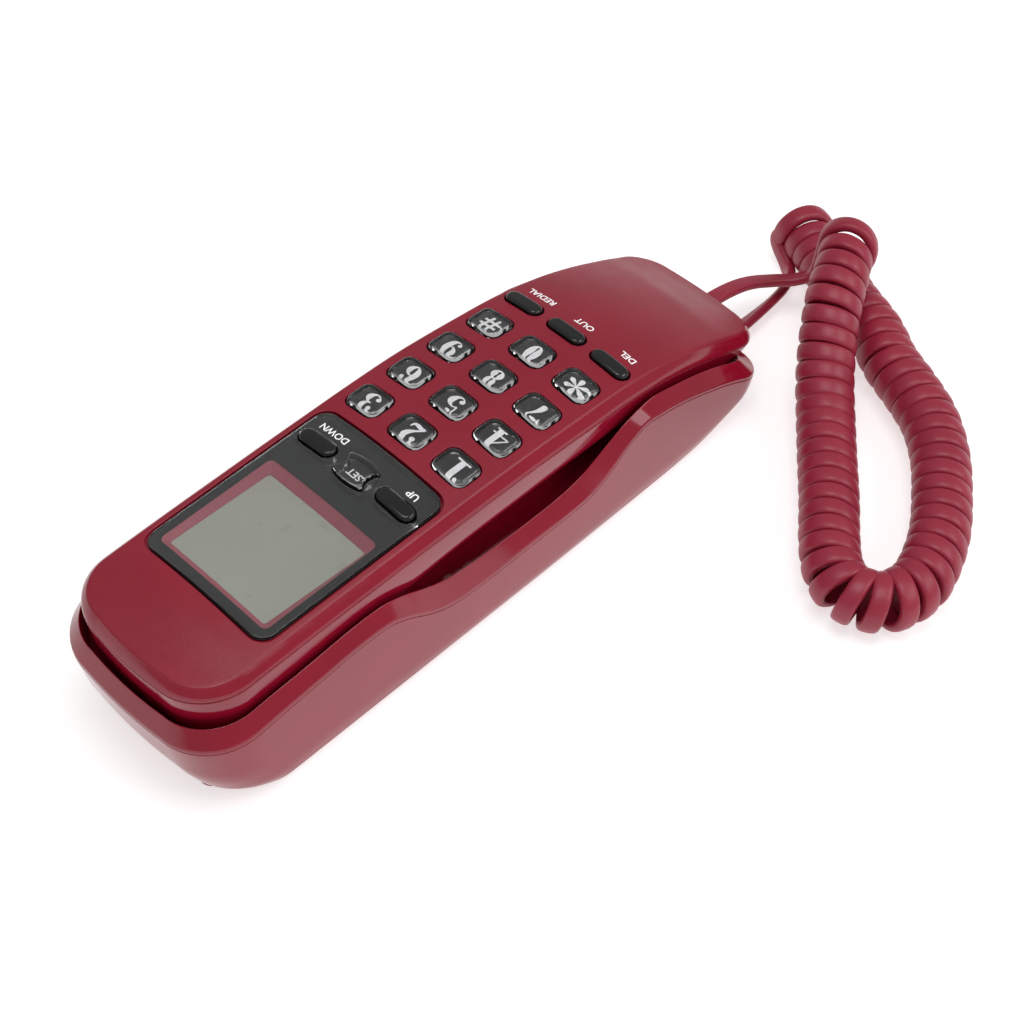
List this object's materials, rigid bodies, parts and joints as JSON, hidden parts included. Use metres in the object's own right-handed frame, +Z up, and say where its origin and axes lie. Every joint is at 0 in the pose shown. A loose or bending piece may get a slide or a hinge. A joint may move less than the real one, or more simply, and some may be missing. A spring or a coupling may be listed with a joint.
{
  "type": "corded wall telephone",
  "caption": "Slim corded wall phone with a caller display and keypad on the handset, which rests in a scooped cradle base, and a coiled handset cord.",
  "frame": {"origin": "middle of the phone's underside, on the surface that its feet stand on, measured without the cord", "axes": "+X to the right of the keypad, +Y from the keypad towards the display end, +Z up out of the keypad face"},
  "size_m": [0.1381, 0.2504, 0.0455],
  "materials": {
    "shell": "glossy red ABS, finely grained on the handset's face",
    "black_plastic": "satin",
    "key": "clear gloss over black, white legends",
    "steel": "satin",
    "grey_rubber": "matte",
    "board": "satin",
    "cord": "soft satin red PVC",
    "plug": "clear polycarbonate",
    "lens": "clear acrylic printed black around the window",
    "display_frame": "satin red",
    "display_glass": "grey-green liquid crystal glass"
  },
  "bodies": {
    "base": {"base_top_shell": "shell", "base_bottom_shell": "shell", "base_screws": "steel", "base_board": "board", "ringer": "black_plastic", "hook_spring": "steel", "hook_switch": "black_plastic", "base_cord_jack": "black_plastic", "line_jack": "black_plastic", "base_plug": "plug", "coil_cord": "cord", "lead_handset": "cord", "lead_base": "cord"},
    "handset": {"handset_front_shell": "shell", "handset_rear_shell": "shell", "handset_screws": "steel", "lens_panel": "lens", "display_frame": "display_frame", "display_glass": "display_glass", "display_connector": "grey_rubber", "display_board": "board", "key_board": "board", "key_membrane": "grey_rubber", "receiver": "steel", "receiver_gasket": "grey_rubber", "microphone": "steel", "microphone_boot": "grey_rubber", "handset_jack": "black_plastic", "handset_plug": "plug"},
    "hook": {"hook_plunger": "black_plastic"},
    "key_1": {"key_1": "key"},
    "key_2": {"key_2": "key"},
    "key_3": {"key_3": "key"},
    "key_4": {"key_4": "key"},
    "key_5": {"key_5": "key"},
    "key_6": {"key_6": "key"},
    "key_7": {"key_7": "key"},
    "key_8": {"key_8": "key"},
    "key_9": {"key_9": "key"},
    "key_star": {"key_star": "key"},
    "key_0": {"key_0": "key"},
    "key_hash": {"key_hash": "key"},
    "key_del": {"key_del": "key"},
    "key_out": {"key_out": "key"},
    "key_redial": {"key_redial": "key"},
    "key_up": {"key_up": "key"},
    "key_set": {"key_set": "key"},
    "key_down": {"key_down": "key"}
  },
  "joints": [
    {"name": "handset_lift", "type": "slide", "parent": "base", "child": "handset", "axis": [0, 0, 1], "range_m": [0, 0.06]},
    {"name": "hook_rise", "type": "slide", "parent": "base", "child": "hook", "axis": [0, 0, 1], "range_m": [0, 0.003], "deforming": ["hook_spring"]},
    {"name": "key_1_press", "type": "slide", "parent": "handset", "child": "key_1", "axis": [0, 0, 1], "range_m": [-0.0008, 0], "stiffness_N_per_m": 1500},
    {"name": "key_2_press", "type": "slide", "parent": "handset", "child": "key_2", "axis": [0, 0, 1], "range_m": [-0.0008, 0], "stiffness_N_per_m": 1500},
    {"name": "key_3_press", "type": "slide", "parent": "handset", "child": "key_3", "axis": [0, 0, 1], "range_m": [-0.0008, 0], "stiffness_N_per_m": 1500},
    {"name": "key_4_press", "type": "slide", "parent": "handset", "child": "key_4", "axis": [0, 0, 1], "range_m": [-0.0008, 0], "stiffness_N_per_m": 1500},
    {"name": "key_5_press", "type": "slide", "parent": "handset", "child": "key_5", "axis": [0, 0, 1], "range_m": [-0.0008, 0], "stiffness_N_per_m": 1500},
    {"name": "key_6_press", "type": "slide", "parent": "handset", "child": "key_6", "axis": [0, 0, 1], "range_m": [-0.0008, 0], "stiffness_N_per_m": 1500},
    {"name": "key_7_press", "type": "slide", "parent": "handset", "child": "key_7", "axis": [0, 0, 1], "range_m": [-0.0008, 0], "stiffness_N_per_m": 1500},
    {"name": "key_8_press", "type": "slide", "parent": "handset", "child": "key_8", "axis": [0, 0, 1], "range_m": [-0.0008, 0], "stiffness_N_per_m": 1500},
    {"name": "key_9_press", "type": "slide", "parent": "handset", "child": "key_9", "axis": [0, 0, 1], "range_m": [-0.0008, 0], "stiffness_N_per_m": 1500},
    {"name": "key_star_press", "type": "slide", "parent": "handset", "child": "key_star", "axis": [0, 0, 1], "range_m": [-0.0008, 0], "stiffness_N_per_m": 1500},
    {"name": "key_0_press", "type": "slide", "parent": "handset", "child": "key_0", "axis": [0, 0, 1], "range_m": [-0.0008, 0], "stiffness_N_per_m": 1500},
    {"name": "key_hash_press", "type": "slide", "parent": "handset", "child": "key_hash", "axis": [0, 0, 1], "range_m": [-0.0008, 0], "stiffness_N_per_m": 1500},
    {"name": "key_del_press", "type": "slide", "parent": "handset", "child": "key_del", "axis": [0, 0, 1], "range_m": [-0.0008, 0], "stiffness_N_per_m": 1500},
    {"name": "key_out_press", "type": "slide", "parent": "handset", "child": "key_out", "axis": [0, 0, 1], "range_m": [-0.0008, 0], "stiffness_N_per_m": 1500},
    {"name": "key_redial_press", "type": "slide", "parent": "handset", "child": "key_redial", "axis": [0, 0, 1], "range_m": [-0.0008, 0], "stiffness_N_per_m": 1500},
    {"name": "key_up_press", "type": "slide", "parent": "handset", "child": "key_up", "axis": [0, 0, 1], "range_m": [-0.0008, 0], "stiffness_N_per_m": 1500},
    {"name": "key_set_press", "type": "slide", "parent": "handset", "child": "key_set", "axis": [0, 0, 1], "range_m": [-0.0008, 0], "stiffness_N_per_m": 1500},
    {"name": "key_down_press", "type": "slide", "parent": "handset", "child": "key_down", "axis": [0, 0, 1], "range_m": [-0.0008, 0], "stiffness_N_per_m": 1500}
  ],
  "couplings": [
    {"joint": "hook_rise", "follows": "handset_lift", "ratio": 0.05}
  ]
}
